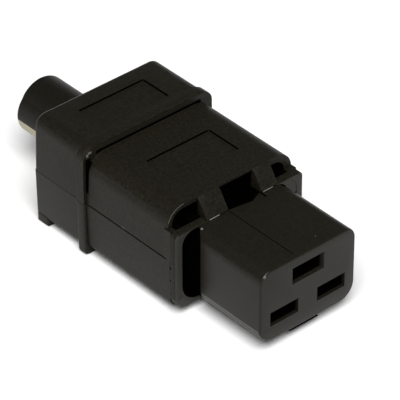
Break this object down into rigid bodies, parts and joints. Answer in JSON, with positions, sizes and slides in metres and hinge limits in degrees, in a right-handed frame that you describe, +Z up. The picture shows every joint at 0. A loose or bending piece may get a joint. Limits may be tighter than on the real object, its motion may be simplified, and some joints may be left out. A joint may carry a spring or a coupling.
{
  "type": "C19 power connector",
  "caption": "Black rewireable C19 power connector with a rectangular nose, three pin slots, split housing with a raised band and a round cord sleeve.",
  "frame": {"origin": "middle of the mating face, the front face of the nose", "axes": "+X out of the mating face towards the inlet, +Y across the connector, +Z up on the earth contact's side"},
  "size_m": [0.0915, 0.0382, 0.0289],
  "materials": {
    "housing_plastic": "fine grained moulding",
    "carrier_plastic": "smooth moulding",
    "sleeve_rubber": "matt",
    "contact_brass": "bright",
    "plated_steel": "zinc plated",
    "clamp_plastic": "moulded"
  },
  "bodies": {
    "root": {"upper_shell": "housing_plastic", "lower_shell": "housing_plastic", "contact_carrier": "carrier_plastic", "cord_sleeve": "sleeve_rubber", "line_contact": "contact_brass", "neutral_contact": "contact_brass", "earth_contact": "contact_brass", "line_terminal": "contact_brass", "neutral_terminal": "contact_brass", "earth_terminal": "contact_brass", "line_wire_plate": "plated_steel", "neutral_wire_plate": "plated_steel", "earth_wire_plate": "plated_steel", "line_terminal_screw": "plated_steel", "neutral_terminal_screw": "plated_steel", "earth_terminal_screw": "plated_steel", "cord_clamp": "clamp_plastic", "clamp_screw_left": "plated_steel", "clamp_screw_right": "plated_steel", "housing_screw_front_left": "plated_steel", "housing_screw_front_right": "plated_steel", "housing_screw_rear_left": "plated_steel", "housing_screw_rear_right": "plated_steel"}
  },
  "joints": []
}
